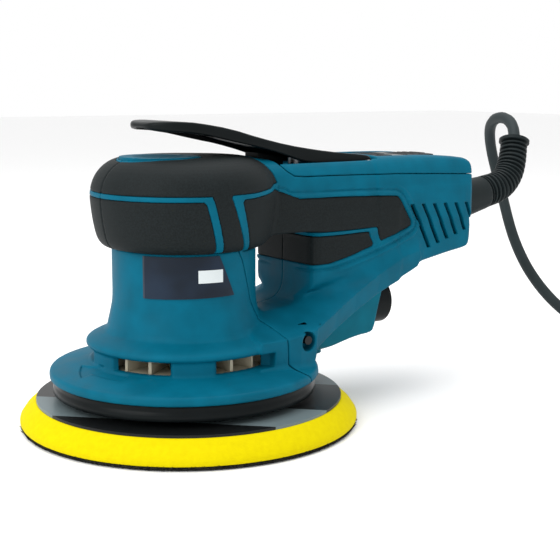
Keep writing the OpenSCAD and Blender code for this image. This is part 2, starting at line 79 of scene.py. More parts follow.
# shader sockets with plain arithmetic
class Sock:
    def __init__(self, tree, socket):
        self.tree, self.socket = tree, socket

    def op(self, kind, other=None, flip=False):
        node = self.tree.nodes.new("ShaderNodeMath")
        node.operation = kind
        pair = [self] if other is None else [other, self] if flip else [self, other]
        for slot, value in zip(node.inputs, pair):
            if isinstance(value, Sock):
                self.tree.links.new(value.socket, slot)
            else:
                slot.default_value = value
        return Sock(self.tree, node.outputs[0])

    def __add__(self, other):
        return self.op("ADD", other)

    def __radd__(self, other):
        return self.op("ADD", other)

    def __sub__(self, other):
        return self.op("SUBTRACT", other)

    def __rsub__(self, other):
        return self.op("SUBTRACT", other, True)

    def __mul__(self, other):
        return self.op("MULTIPLY", other)

    def __rmul__(self, other):
        return self.op("MULTIPLY", other)

    def __lt__(self, other):
        return self.op("LESS_THAN", other)

    def __gt__(self, other):
        return self.op("GREATER_THAN", other)

    def abs(self):
        return self.op("ABSOLUTE")

    def ramp(self, low, high, outLow=0.0, outHigh=1.0):
        node = self.tree.nodes.new("ShaderNodeMapRange")
        for name, value in (("From Min", low), ("From Max", high), ("To Min", outLow), ("To Max", outHigh)):
            node.inputs[name].default_value = value
        self.tree.links.new(self.socket, node.inputs["Value"])
        return Sock(self.tree, node.outputs[0])


class Finish:
    def __init__(self, name, colour, rough, **extra):
        self.material = bpy.data.materials.new(name)
        self.material.use_nodes = True
        self.tree = self.material.node_tree
        self.shader = self.tree.nodes["Principled BSDF"]
        self.put("Base Color", (*colour, 1))
        self.put("Roughness", rough)
        for key, value in extra.items():
            self.put(key.replace("_", " "), value)
        self.material.diffuse_color = (*colour, 1)
        self.where = self.make("ShaderNodeTexCoord").outputs["Object"]

    def put(self, name, value):
        if isinstance(value, Sock):
            self.tree.links.new(value.socket, self.shader.inputs[name])
        else:
            self.shader.inputs[name].default_value = value

    def make(self, kind, **settings):
        node = self.tree.nodes.new(kind)
        for key, value in settings.items():
            if hasattr(node, key):
                setattr(node, key, value)
            elif isinstance(value, Sock):
                self.tree.links.new(value.socket, node.inputs[key.replace("_", " ")])
            else:
                node.inputs[key.replace("_", " ")].default_value = value
        return node

    def noise(self, scale, detail=2.0, rough=0.5):
        node = self.make("ShaderNodeTexNoise", Scale=scale, Detail=detail, Roughness=rough)
        self.tree.links.new(self.where, node.inputs["Vector"])
        return Sock(self.tree, node.outputs["Fac"])

    def cells(self, scale):
        node = self.make("ShaderNodeTexVoronoi", Scale=scale)
        self.tree.links.new(self.where, node.inputs["Vector"])
        return Sock(self.tree, node.outputs["Distance"])

    def axes(self):
        node = self.make("ShaderNodeSeparateXYZ")
        self.tree.links.new(self.where, node.inputs[0])
        return [Sock(self.tree, out) for out in node.outputs]

    def mix(self, amount, first, second):
        node = self.make("ShaderNodeMix", data_type="RGBA")
        self.tree.links.new(amount.socket, node.inputs[0])
        for slot, value in ((node.inputs[6], first), (node.inputs[7], second)):
            if isinstance(value, Sock):
                self.tree.links.new(value.socket, slot)
            else:
                slot.default_value = (*value, 1)
        return Sock(self.tree, node.outputs[2])

    def bump(self, height, strength, distance):
        node = self.make("ShaderNodeBump", Strength=strength, Distance=distance, Height=height)
        self.tree.links.new(node.outputs[0], self.shader.inputs["Normal"])


def moulded(name, colour, rough, grain=2600, deep=0.00003, shift=0.06, **extra):
    made = Finish(name, colour, rough, **extra)
    fine = made.noise(grain, 3, 0.6)
    wide = made.noise(90, 2)
    made.bump(fine, 0.35, deep)
    made.put("Roughness", wide.ramp(0.3, 0.7, rough - shift, rough + shift))
    dark = tuple(c * 0.86 for c in colour)
    light = tuple(min(1, c * 1.10) for c in colour)
    made.put("Base Color", made.mix(wide.ramp(0.3, 0.7), dark, light))
    return made


def rubbery(name, colour, light, rough, grain=1500):
    made = Finish(name, colour, rough, Specular_IOR_Level=0.12)
    speck = made.noise(grain, 2, 0.6)
    pits = made.cells(grain * 1.3)
    made.bump(speck + pits * 0.4, 0.5, 0.00006)
    made.put("Base Color", made.mix(speck.ramp(0.38, 0.64), colour, light))
    made.put("Roughness", speck.ramp(0.3, 0.7, rough - 0.1, rough + 0.08))
    return made


finishes = {
    "blue_plastic": moulded("bluePlastic", (0.0, 0.100, 0.163), 0.5, Specular_IOR_Level=0.06),
    "duct_plastic": moulded("ductPlastic", (0.002, 0.132, 0.193), 0.5, Specular_IOR_Level=0.07),
    "grip_rubber": rubbery("gripRubber", (0.005, 0.0075, 0.008), (0.010, 0.0140, 0.015), 0.62),
    "black_plastic": moulded("blackPlastic", (0.0045, 0.0065, 0.007), 0.34, 1800, 4e-5,
                            Specular_IOR_Level=0.09),
    "soft_black": moulded("softBlack", (0.011, 0.016, 0.017), 0.5, 1500, 5e-5, Specular_IOR_Level=0.12),
    "panel_grey": moulded("panelGrey", (0.085, 0.092, 0.090), 0.42, Specular_IOR_Level=0.3),
    "button_rubber": rubbery("buttonRubber", (0.014, 0.015, 0.016), (0.024, 0.025, 0.026), 0.55),
    "screw_black": moulded("screwBlack", (0.016, 0.016, 0.017), 0.34, Metallic=0.7),
    "fan_plastic": moulded("fanPlastic", (0.46, 0.42, 0.31), 0.42),
    "steel": moulded("steel", (0.52, 0.52, 0.53), 0.3, Metallic=1.0),
    "alloy": moulded("alloy", (0.50, 0.50, 0.52), 0.45, 900, Metallic=1.0),
    "lamination": moulded("lamination", (0.16, 0.16, 0.17), 0.5, Metallic=0.8),
    "copper": moulded("copperWire", (0.50, 0.22, 0.10), 0.35, Metallic=0.9),
    "circuit_board": moulded("circuitBoard", (0.01, 0.09, 0.04), 0.35),
    "cable": moulded("cable", (0.021, 0.029, 0.031), 0.52, 1200, 5e-5, Specular_IOR_Level=0.15),
    "pin_metal": moulded("pinMetal", (0.62, 0.62, 0.63), 0.25, Metallic=1.0),
}

foam = Finish("padFoam", (0.63, 0.52, 0.0), 0.75, Specular_IOR_Level=0.05)
pores = foam.cells(1900)
foam.bump(pores + foam.noise(700, 3) * 0.5, 0.35, 0.00007)
foam.put("Base Color", foam.mix(foam.noise(420, 3).ramp(0.3, 0.7), (0.61, 0.500, 0.0), (0.65, 0.545, 0.0)))
finishes["pad_foam"] = foam

hooks = Finish("hookFabric", (0.012, 0.012, 0.011), 0.9, Specular_IOR_Level=0.1)
pile = hooks.cells(1300)
hooks.bump(pile, 0.9, 0.0004)
hooks.put("Base Color", hooks.mix(pile.ramp(0.1, 0.6), (0.035, 0.034, 0.026), (0.006, 0.006, 0.006)))
finishes["hook_fabric"] = hooks

discFacts = {
    "inner": 0.030,
    "outer": 0.069,
    "dark": (0.005, 0.006, 0.0065),
    "grey": (0.13, 0.17, 0.18),
}
disc = Finish("padDisc", (0.006, 0.007, 0.0075), 0.34, Specular_IOR_Level=0.2)
discX, discY, _ = disc.axes()
stripe = (discX + discY - padOffset).abs()
wedge = (stripe > discFacts["inner"]) * (stripe < discFacts["outer"])
disc.put("Base Color", disc.mix(wedge, discFacts["dark"], discFacts["grey"]))
disc.bump(disc.noise(1500, 2), 0.3, 0.00003)
finishes["pad_disc"] = disc

labelFacts = {
    "patch": (-0.0113, -0.0005, 0.0667, 0.0721),
    "dark": (0.002, 0.007, 0.016),
    "light": (0.006, 0.016, 0.034),
    "pale": (0.62, 0.67, 0.68),
}
label = Finish("label", (0.003, 0.010, 0.022), 0.3, Specular_IOR_Level=0.2)
labelX, _, labelZ = label.axes()
left, right, bottom, top = labelFacts["patch"]
patch = (labelX > left) * (labelX < right) * (labelZ > bottom) * (labelZ < top)
ground = label.mix(label.noise(60, 2).ramp(0.35, 0.65), labelFacts["dark"], labelFacts["light"])
label.put("Base Color", label.mix(patch, ground, labelFacts["pale"]))
finishes["label"] = label

slotOf = {part["node"]: part["material_slot"] for part in frame["record"]["subparts"]}
for name, node in frame["nodes"].items():
    node.data.materials.clear()
    node.data.materials.append(finishes[slotOf[name]].material)
say("materials")


# distance fields in millimetres
def rounded(points, times=2):
    pts = np.array(points, float)
    for _ in range(times):
        after = np.roll(pts, -1, 0)
        pts = np.stack([0.75 * pts + 0.25 * after, 0.25 * pts + 0.75 * after], 1).reshape(-1, 2)
    return pts


def outlineDistance(points, a, b):
    best = np.full(a.shape, 1e9)
    inside = np.zeros(a.shape, bool)
    for (x0, y0), (x1, y1) in zip(points, np.roll(points, -1, 0)):
        ex, ey = x1 - x0, y1 - y0
        wx, wy = a - x0, b - y0
        along = np.clip((wx * ex + wy * ey) / max(ex * ex + ey * ey, 1e-12), 0, 1)
        best = np.minimum(best, (wx - ex * along) ** 2 + (wy - ey * along) ** 2)
        if y0 != y1:
            crosses = ((y0 > b) != (y1 > b)) & (a < ex * (b - y0) / ey + x0)
            inside ^= crosses
    return np.where(inside, -1, 1) * np.sqrt(best)


class Outline:
    def __init__(self, points, times=2, step=0.4, margin=8):
        pts = rounded(points, times) if times else np.array(points, float)
        self.low = pts.min(0) - margin
        size = np.ceil((pts.max(0) + margin - self.low) / step).astype(int) + 1
        self.step = step
        grid = np.meshgrid(*[self.low[i] + step * np.arange(size[i]) for i in (0, 1)], indexing="ij")
        self.grid = outlineDistance(pts, *grid)

    def __call__(self, a, b):
        u = (a - self.low[0]) / self.step
        v = (b - self.low[1]) / self.step
        cu = np.clip(u, 0, self.grid.shape[0] - 1.001)
        cv = np.clip(v, 0, self.grid.shape[1] - 1.001)
        i, j = cu.astype(int), cv.astype(int)
        fu, fv = cu - i, cv - j
        g = self.grid
        front = g[i, j] * (1 - fu) + g[i + 1, j] * fu
        back = g[i, j + 1] * (1 - fu) + g[i + 1, j + 1] * fu
        near = front * (1 - fv) + back * fv
        return near + self.step * np.hypot(u - cu, v - cv)


def both(*values, soft=0.6):
    out = values[0]
    for value in values[1:]:
        h = np.clip(0.5 + 0.5 * (out - value) / soft, 0, 1)
        out = value + (out - value) * h + soft * h * (1 - h)
    return out


def either(*values, soft=2.0):
    return -both(*[-v for v in values], soft=soft)


corners = np.array([(i, j, k) for i in (0, 1) for j in (0, 1) for k in (0, 1)])
edges = [(a, b) for a in range(8) for b in range(8) if a < b and np.abs(corners[a] - corners[b]).sum() == 1]


# surface of a distance field as quads, one vertex in each cell that the surface crosses
def contour(field, low, high, cell):
    low, high = np.array(low, float), np.array(high, float)
    block = 8
    span = block * cell
    count = np.ceil((high - low) / span).astype(int)
    base = np.stack(np.meshgrid(*[np.arange(c) for c in count], indexing="ij"), -1).reshape(-1, 3)
    middle = low + (base + 0.5) * span
    base = base[np.abs(field(*middle.T)) < span * 1.15 + 1.5]
    local = np.arange(block + 1)
    offsets = np.stack(np.meshgrid(local, local, local, indexing="ij"), -1)
    found, values8 = [], []
    for start in range(0, len(base), 400):
        part = base[start:start + 400]
        where = part[:, None, None, None, :] * block + offsets[None]
        d = field(*(low + where.reshape(-1, 3) * cell).T).reshape(where.shape[:-1])
        eight = np.stack([d[:, c[0]:c[0] + block, c[1]:c[1] + block, c[2]:c[2] + block] for c in corners], -1)
        inner = eight < 0
        hit = inner.any(-1) & ~inner.all(-1)
        found.append(where[:, :-1, :-1, :-1][hit])
        values8.append(eight[hit])
    cells = np.concatenate(found)
    values = np.concatenate(values8)
    owner, points = [], []
    for a, b in edges:
        da, db = values[:, a], values[:, b]
        which = np.flatnonzero((da < 0) != (db < 0))
        t = (da[which] / (da[which] - db[which]))[:, None]
        owner.append(which)
        points.append(low + (cells[which] + corners[a] + (corners[b] - corners[a]) * t) * cell)
    owner, points = np.concatenate(owner), np.concatenate(points)
    normals = slopes(field, points, cell * 0.2)
    n = len(cells)
    ata = np.zeros((n, 3, 3))
    atb = np.zeros((n, 3))
    centre = np.zeros((n, 3))
    hits = np.bincount(owner, minlength=n)[:, None]
    dots = (normals * points).sum(1)
    for i in range(3):
        centre[:, i] = np.bincount(owner, points[:, i], n)
        atb[:, i] = np.bincount(owner, normals[:, i] * dots, n)
        for j in range(3):
            ata[:, i, j] = np.bincount(owner, normals[:, i] * normals[:, j], n)
    centre /= hits
    ata += np.eye(3) * 0.08
    atb += centre * 0.08
    verts = np.linalg.solve(ata, atb[..., None])[..., 0]
    room = low + cells * cell
    verts = np.clip(verts, room - 0.05 * cell, room + 1.05 * cell)
    key = (cells[:, 0] << 40) + (cells[:, 1] << 20) + cells[:, 2]
    order = np.argsort(key)
    ranked = key[order]
    quads = []
    for axis, (p, q) in enumerate(((1, 2), (2, 0), (0, 1))):
        far = 4 >> axis
        da, db = values[:, 0], values[:, far]
        which = np.flatnonzero(((da < 0) != (db < 0)) & (cells[:, p] > 0) & (cells[:, q] > 0))
        ring = []
        for dp, dq in ((0, 0), (1, 0), (1, 1), (0, 1)):
            other = cells[which].copy()
            other[:, p] -= dp
            other[:, q] -= dq
            look = (other[:, 0] << 40) + (other[:, 1] << 20) + other[:, 2]
            spot = np.clip(np.searchsorted(ranked, look), 0, n - 1)
            ring.append(np.where(ranked[spot] == look, order[spot], -1))
        ring = np.stack(ring, 1)
        good = (ring >= 0).all(1)
        ring = np.where((da[which] < 0)[:, None], ring, ring[:, ::-1])
        quads.append(ring[good])
    return verts, np.concatenate(quads)


def slopes(field, points, h):
    grads = []
    for axis in np.eye(3):
        grads.append(field(*(points + axis * h).T) - field(*(points - axis * h).T))
    grads = np.stack(grads, 1)
    return grads / np.maximum(np.linalg.norm(grads, axis=1, keepdims=True), 1e-9)


def linked(name, data):
    piece = bpy.data.objects.new(name, data)
    bpy.context.scene.collection.objects.link(piece)
    return piece


def fitted(piece, body, slot, replaced):
    piece.data.materials.append(finishes[slot].material)
    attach(piece, body)
    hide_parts(*replaced)
    return piece


def toMesh(name, verts, faces, normals, body, slot, replaced):
    mesh = bpy.data.meshes.new(name)
    mesh.from_pydata((verts * MM).tolist(), [], faces.tolist())
    mesh.polygons.foreach_set("use_smooth", [True] * len(mesh.polygons))
    mesh.normals_split_custom_set_from_vertices(normals.tolist())
    return fitted(linked(name, mesh), body, slot, replaced)


def grow(name, field, low, high, cell, body, slot, replaced, mirrored=None):
    size = cell * 1
    verts, faces = contour(field, low, high, size)
    normals = slopes(field, verts, 0.3)
    toMesh(name, verts, faces, normals, body, slot, replaced)
    if mirrored:
        flip = np.array([1, -1, 1])
        toMesh(mirrored[0], verts * flip, faces[:, ::-1], normals * flip, body, slot, mirrored[1])
    say(f"{name}: {len(faces)} quads")


# cord: leaves the sleeve, loops over, drops to the bench and is wound away
cordFacts = {
    "diameter": 6.3,
    "start": 216.9,
    "turns": 11 + (270 - 216.9) / 360,
    "coil": (320.0, -12.0),
    "low": 3.2,
    "mid": 35.0,
    "pitch": 6.35,
    "columns": 3,
}
cordRoute = [
    (215.2, 7.6, 118.8), (218, 10, 123), (221, 14, 127), (223.5, 20, 130), (225, 27, 131),
    (227, 34, 130), (230, 40, 127), (233.5, 44.5, 122.5), (237, 47, 117), (240, 48.5, 111),
    (242, 48.5, 105), (243, 47, 99), (243.5, 44.5, 92), (243, 41, 84), (242.5, 37, 75),
    (242, 33, 66), (242.5, 28, 56), (244, 22.5, 46), (247, 16.5, 36.5), (251, 9.5, 27.5),
    (256, 1.5, 19.5), (262, -8, 12.5), (268, -18, 7.5), (275, -28.5, 4.2),
]
tailRoute = [
    (330, -53.9, 21.4), (338, -55, 20.2), (348, -56.8, 18.4), (358, -58.4, 17.2), (368, -59, 17),
]


def ease(t):
    t = np.clip(t, 0, 1)
    return t * t * (3 - 2 * t)


def woundTurns(facts):
    points = []
    columns = facts["columns"]
    steps = int(facts["turns"] * 40)
    for s in range(steps + 1):
        turns = facts["turns"] * s / steps
        whole = int(turns)
        part = ease((turns - whole - 0.84) / 0.16)
        layer, column = divmod(whole, columns)
        outward = layer % 2 == 1
        place = (columns - 1 - column) if outward else column
        if column < columns - 1:
            place += -part if outward else part
            level = layer
        else:
            level = layer + part
        radius = facts["mid"] + facts["pitch"] * (1 - place)
        if turns < 0.2:
            radius += 3.6 * (1 - ease(turns / 0.2))
        angle = math.radians(facts["start"] + 360 * turns)
        across, along = facts["coil"]
        height = facts["low"] + facts["pitch"] * level
        points.append((across + radius * math.cos(angle), along + radius * math.sin(angle), height))
    return points


def splined(points, gap):
    pts = np.array(points, float)
    out = []
    for i in range(len(pts) - 1):
        a, b, c, d = pts[max(i - 1, 0)], pts[i], pts[i + 1], pts[min(i + 2, len(pts) - 1)]
        for t in np.arange(0, 1, 1 / max(1, round(np.linalg.norm(c - b) / gap))):
            square = (2 * a - 5 * b + 4 * c - d) * t * t
            cube = (3 * b - a - 3 * c + d) * t ** 3
            out.append(0.5 * (2 * b + (c - a) * t + square + cube))
    out.append(pts[-1])
    return np.array(out)


def relaxed(points, times):
    pts = np.array(points, float)
    for _ in range(times):
        pts[1:-1] = 0.25 * pts[:-2] + 0.5 * pts[1:-1] + 0.25 * pts[2:]
    return pts


cordLine = relaxed(splined(cordRoute + woundTurns(cordFacts) + tailRoute, 3.0), 8)
cordLength = float(np.linalg.norm(np.diff(cordLine, axis=0), axis=1).sum()) * MM
curve = bpy.data.curves.new("mainsCord", "CURVE")
curve.dimensions = "3D"
curve.bevel_depth = cordFacts["diameter"] / 2 * MM
curve.bevel_resolution = 3
curve.use_fill_caps = True
spline = curve.splines.new("POLY")
spline.points.add(len(cordLine) - 1)
spline.points.foreach_set("co", np.c_[cordLine * MM, np.ones(len(cordLine))].ravel())
spline.use_smooth = True
cordPiece = linked("mainsCord", curve)
fitted(cordPiece, "housing", "cable", ["cord", "cord_coil", "cord_tail"])


# tube of varying radius along a line
def sweep(name, line, radii, sides, body, slot, replaced):
    line = np.array(line, float)
    tangents = np.gradient(line, axis=0)
    tangents /= np.linalg.norm(tangents, axis=1, keepdims=True)
    u = np.cross(tangents[0], (0.3, 1, 0.2))
    verts = []
    for point, tangent, radius in zip(line, tangents, radii):
        u = u - tangent * (u @ tangent)
        u /= np.linalg.norm(u)
        w = np.cross(tangent, u)
        for s in range(sides):
            a = 2 * math.pi * s / sides
            verts.append(point + radius * (math.cos(a) * u + math.sin(a) * w))
    n = len(line)
    faces = []
    for i in range(n - 1):
        for s in range(sides):
            after = (s + 1) % sides
            faces.append([i * sides + s, i * sides + after, (i + 1) * sides + after, (i + 1) * sides + s])
    faces += [list(range(sides))[::-1], [(n - 1) * sides + s for s in range(sides)]]
    mesh = bpy.data.meshes.new(name)
    mesh.from_pydata((np.array(verts) * MM).tolist(), [], faces)
    mesh.polygons.foreach_set("use_smooth", [True] * len(mesh.polygons))
    mesh.set_sharp_from_angle(angle=math.radians(42))
    return fitted(linked(name, mesh), body, slot, replaced)


plugShape = [
    (0, 3.6), (0, 5.0), (1, 5.4), (6, 6.0), (14, 8.0), (15.2, 9.4), (16.2, 12.6), (17.4, 14.2), (20, 15.6),
    (24, 16.8), (26, 17), (34, 17), (36.6, 16.8), (37.6, 16.2), (38, 15.2), (38, 11), (38, 0.2),
]
plugLine, plugRadii = [], []
for x, r in plugShape:
    plugLine.append((368 + x + 0.001 * len(plugLine), -59, 17))
    plugRadii.append(r)
plugPiece = sweep("plugBody", plugLine, plugRadii, 48, "housing", "black_plastic", ["plug"])

say(f"cord {cordLength:.3f} m")

reliefRoute = [
    (184.3, 0, 92.4), (188, 0, 93.1), (192, 0, 93.8), (195.6, 0.2, 94.8), (199, 0.6, 96.2),
    (202, 1.2, 98), (204.8, 1.9, 100.2), (207.2, 2.7, 102.8), (209.2, 3.6, 105.6),
    (211, 4.6, 108.6), (212.6, 5.7, 111.8), (214, 6.7, 115), (215.5, 7.8, 119),
]
reliefLine = splined(reliefRoute, 0.3)
reach = np.r_[0, np.cumsum(np.linalg.norm(np.diff(reliefLine, axis=0), axis=1))]
total = reach[-1]
sleeveFacts = {"root": 8.5, "taper": 1.4, "pitch": 2.75, "groove": 1.9, "end": 8.2, "lip": 7.6, "bore": 3.2}
reliefRadii = []
for s in reach:
    full = sleeveFacts["root"] - sleeveFacts["taper"] * s / total
    phase = (s / sleeveFacts["pitch"]) % 1
    groove = ease((0.5 - abs(phase - 0.5) - 0.22) / 0.08)
    radius = full - sleeveFacts["groove"] * groove
    if s > total - 2.4:
        radius = sleeveFacts["end"]
    if s > total - 0.5:
        radius = sleeveFacts["lip"]
    reliefRadii.append(radius)
reliefRadii[0] = 5.0
reliefRadii[-1] = sleeveFacts["bore"]
sweep("strainSleeve", reliefLine, reliefRadii, 48, "housing", "soft_black", ["strain_relief"])
collarShape = [
    (0, 10.5), (8, 10.5), (14, 10.5), (22, 10.5), (26, 10.2), (30, 9.8), (34, 9.5), (38, 9.2), (42, 8.9), (45, 8.7),
    (46.2, 8.5), (46.8, 7.9), (46.9, 3.3),
]
collarLine = [(138 + 0.985 * s, 0, 84.3 + 0.170 * s) for s, _ in collarShape]
collarRadii = [r for _, r in collarShape]
sweep("strainCollar", collarLine, collarRadii, 48, "housing", "soft_black", ["relief_collar"])
say("sleeve")


# outlines of the body: radius and height, then side, cross-section and plan views
barrelShape = Outline([
    (-20, 21.5), (57, 21.5), (59.2, 21.6), (59.6, 22.6), (59.4, 24.8), (58.2, 25.7), (50, 27.3),
    (43.2, 28.5), (41.7, 29.3), (41.5, 31), (41.5, 34), (41.7, 35.2), (43, 35.9), (43.4, 37),
    (43, 38.3), (41.2, 39.5), (37.4, 41.2), (35.2, 42.2), (34.1, 43.8), (33.4, 47), (32.6, 50.4),
    (31.8, 54.2), (31.5, 58), (31.5, 66), (31.5, 84), (-20, 84),
], 1)
noseShape = Outline([
    (-20, 79), (31, 79), (33.6, 79.1), (35.6, 80), (37.1, 81.8), (38.2, 84.5), (39.3, 89.8),
    (40, 95), (40.5, 100.7), (40.3, 102.9), (39.8, 105.5), (38.9, 108.1), (37.5, 110.6),
    (35.2, 113.3), (31.9, 115.7), (28, 117.1), (23, 117.6), (10, 117.7), (-20, 117.7),
], 1)
handleSide = Outline([
    (10, 82.6), (44, 82.6), (60, 82), (70, 70), (78, 62), (88, 58), (98, 58), (107, 61),
    (118, 63.4), (127, 65.4), (136, 67.2), (146, 68.7), (149.6, 69.9), (150.8, 73), (151.6, 81),
    (152.2, 87), (152.3, 94), (152.2, 99.5), (151.9, 103), (151.7, 106), (151, 109), (149.6, 111.6),
    (146.6, 112.9), (129, 114.4), (112, 115), (90, 115.2), (67, 114.9), (45, 115.5), (37, 115.9),
    (31, 116.6), (24, 117.4), (10, 117.6),
], 1)
handleSection = Outline([
    (-40, 40), (0, 50), (20, 59), (24, 64), (25.6, 70), (26.5, 78), (27, 86), (27, 97),
    (26.4, 99.6), (25.5, 101.4), (25.3, 105), (24.6, 108.6), (23.2, 111.6), (21.4, 113.6),
    (18.8, 114.9), (14, 115.9), (0, 116.6), (-40, 117),
], 1)
handlePlan = Outline([
    (0, -40), (0, 24.6), (34, 25), (60, 26.4), (90, 27.1), (138, 27.1), (147.6, 26.7), (150.8, 25),
    (152.2, 20), (152.5, 6), (152.5, -40),
], 1)
pillarPlan = Outline([
    (104, -27), (90, -26.4), (74, -25), (62, -24), (57, -23.4), (54.3, -21.6), (53.9, -17),
    (53.7, 0), (53.9, 17), (54.3, 21.6), (57, 23.4), (62, 24), (74, 25), (90, 26.4), (104, 27),
], 1)
armSide = Outline([
    (12, 21.5), (43.4, 21.5), (44.2, 23), (44.5, 30), (47, 32.6), (56, 36.6), (72, 43.4), (88, 50),
    (98, 54), (110, 60), (116, 64), (112, 74), (92, 73), (84, 68), (74, 62), (62, 56.4), (54, 52.6),
    (48, 50), (40, 48.4), (12, 48),
], 1)
seamSide = Outline([
    (-80, 79), (8.6, 79), (11.4, 74), (15.1, 63), (17.3, 56), (19.6, 52), (25.1, 44), (26.7, 38),
    (27.4, 28.8), (33, 24), (34, 21), (34, 5), (-80, 5),
], 0)
coverSide = Outline([
    (33, 125), (34.8, 116.4), (36.6, 113.2), (38.8, 110.8), (42.4, 108.6), (48, 108.1), (66, 107.9),
    (102, 107.2), (127, 106.2), (150, 105.2), (160, 104.8), (160, 125),
], 0)
gripSide = Outline([
    (30, 101.8), (35.2, 101.2), (38.2, 99.2), (42, 98.6), (68, 98.3), (98, 97.3), (101, 96.8),
    (102.8, 95), (106, 90), (109.4, 84.6), (109.6, 82.6), (107.6, 81.4), (91.4, 76.6), (90.5, 77.3),
    (88.1, 83.2), (86.4, 83.2), (66, 82.6), (56, 82.6), (30, 83.4), (26, 90),
], 0)
pillarSide = Outline([
    (40, 81.2), (56, 80.6), (66, 80.6), (81.6, 81.3), (83.9, 81.1), (87, 75.6), (86.4, 74.4),
    (74, 70.4), (62, 67.6), (40, 67.2),
], 0)
panelsSide = Outline([
    (20, 102.6), (35.2, 101.6), (38.2, 99.6), (42, 98.9), (68, 98.6), (98, 97.6), (101.3, 97),
    (103.2, 95.2), (106.4, 90.2), (109.9, 84.8), (110.1, 82.3), (107.8, 81), (92, 75.2), (74, 70),
    (62, 67.2), (20, 66.8),
], 1)
noseTop = Outline([
    (-60, 103.4), (-9.5, 103.4), (-1.8, 78), (9.0, 78), (-1.0, 102.6), (-0.4, 103.6), (12, 103.8),
    (24, 104.6), (32.6, 106.2), (31, 110), (27.5, 115.4), (24, 122), (-60, 122),
], 0)
noseFront = Outline([
    (-60, 76), (-4.6, 76), (-12, 100), (-13.2, 101.2), (-60, 101.2),
], 0)
noseRear = Outline([
    (12.6, 76), (30, 76), (44, 82), (44, 99), (36, 102), (30, 103.6), (24, 102.8), (12, 101.8),
    (5.4, 101.5), (4.6, 100.4),
], 0)
capEdge, capRadius, capX = 18.2, 17.1, 12
skin, gap, noseFoot = 1.5, 0.14, 78.4
windowAt = [math.radians(a) for a in (84, 148, 212, 276)]


def armField(x, y, z):
    top = np.interp(x, (34, 42, 51, 62, 77, 90, 107), (48.4, 48.6, 50.6, 56, 62.8, 68.6, 74))
    ridge = np.interp(x, (20, 39, 47, 56, 70, 93, 103, 112), (40.2, 41.2, 43.4, 46.6, 52.8, 63, 67.4, 70))
    widest = np.interp(x, (14, 34, 44, 60, 74, 90, 104, 116), (42.6, 41.6, 39.4, 34, 30.6, 28, 27.1, 26.8))
    crown = np.interp(x, (30, 77, 90, 107), (17, 18, 20, 23))
    rise = np.clip((z - ridge) / np.maximum(top - ridge, 1), 0, 1.3)
    drop = np.clip((ridge - z) / 16, 0, 1.4)
    width = np.where(z > ridge, widest + (crown - widest) * rise, widest - 3.4 * drop)
    lowWall = np.where((x < 45) & (z < ridge), widest - 0.06 * (ridge - z), width)
    return both(armSide(x, z), (np.abs(y) - lowWall) * 0.8, soft=0.9)


def bodyField(x, y, z):
    r = np.hypot(x, y)
    barrel = either(barrelShape(r, z), noseShape(r, z), soft=0.5)
    shape = both(handleSide(x, z), handleSection(np.abs(y), z), handlePlan(x, np.abs(y)), soft=1.6)
    rear = both(shape, 90 - x, soft=1.0)
    neck = both(shape, 82.5 - z, soft=3.0)
    post = both(pillarPlan(x, y), handleSection(np.abs(y), z + 4), z - 90, 50 - z, soft=1.0)
    handle = either(either(neck, post, soft=5), rear, soft=2)
    handle = either(handle, armField(x, y, z), soft=7)
    return either(barrel, handle, soft=2.4)


def windowCut(x, y, z):
    r = np.hypot(x, y)
    angle = np.arctan2(y, x)
    nearest = None
    for at in windowAt:
        turned = np.abs((angle - at + math.pi) % (2 * math.pi) - math.pi)
        nearest = turned if nearest is None else np.minimum(nearest, turned)
    wide = 12.0 + np.clip(r - 39, 0, 4) * 0.9
    tall = 2.6 + np.clip(r - 39, 0, 4) * 0.12
    return both(nearest * r - wide, np.abs(z - 32.4) - tall, 34 - r, soft=0.5)


def chamber(x, y, z):
    return both(np.hypot(x, y) - 39.3, np.abs(z - 32) - 5.2, soft=0.5)


def frontField(x, y, z):
    d = both(bodyField(x, y, z), seamSide(x, z) + 0.12, soft=0.7)
    d = both(d, -windowCut(x, y, z), soft=0.6)
    d = both(d, -chamber(x, y, z), soft=0.3)
    return d + arrowMark(x, y, z)


def arrowMark(x, y, z):
    r = np.hypot(x, y)
    angle = np.degrees(np.arctan2(y, x)) % 360
    body = both((np.abs(angle - 193.5) - 11.5) * 0.82, np.abs(r - 44.6) - 2.6, soft=0.2)
    head = both(np.abs(r - 46) - (angle - 164) * 0.33, (angle - 183) * 0.82, soft=0.2)
    depth = np.clip(0.5 - np.minimum(body, head) / 0.4, 0, 1)
    return 0.55 * depth * ((z > 23.5) & (z < 30))


def noseRegion(x, z):
    return np.minimum(np.minimum(noseTop(x, z), noseFront(x, z)), noseRear(x, z))


def rubberRegion(x, y, z):
    onNose = both(noseRegion(x, z), capEdge - np.hypot(x + capX, y), noseFoot - z, soft=0.4)
    onHandle = np.minimum(both(gripSide(x, z), 28 - x, soft=0.4), pillarSide(x, z))
    return np.minimum(onNose, onHandle)


def band(value, low, high, soft):
    return np.clip((value - low) / soft + 0.5, 0, 1) * np.clip((high - value) / soft + 0.5, 0, 1)


def lowSide(x, z):
    return np.clip((x - 96 + (98 - z) * 0.9) / 8, 0, 1)


def ventSlots(x, z):
    slots = None
    for i in range(6):
        topX, topZ, lowX, lowZ = 109.9 + 7.15 * i, 92.6 - 0.2 * i, 122.7 + 5.8 * i, 70.8 + 1.75 * i
        half = math.hypot(lowX - topX, topZ - lowZ) / 2
        ax, az = (lowX - topX) / 2 / half, (lowZ - topZ) / 2 / half
        dx, dz = x - (topX + lowX) / 2, z - (topZ + lowZ) / 2
        along, across = dx * ax + dz * az, dx * az - dz * ax
        slot = both(np.abs(across) - 1.05, np.abs(along + across * 0.5) - half, soft=0.25)
        slots = slot if slots is None else np.minimum(slots, slot)
    return slots


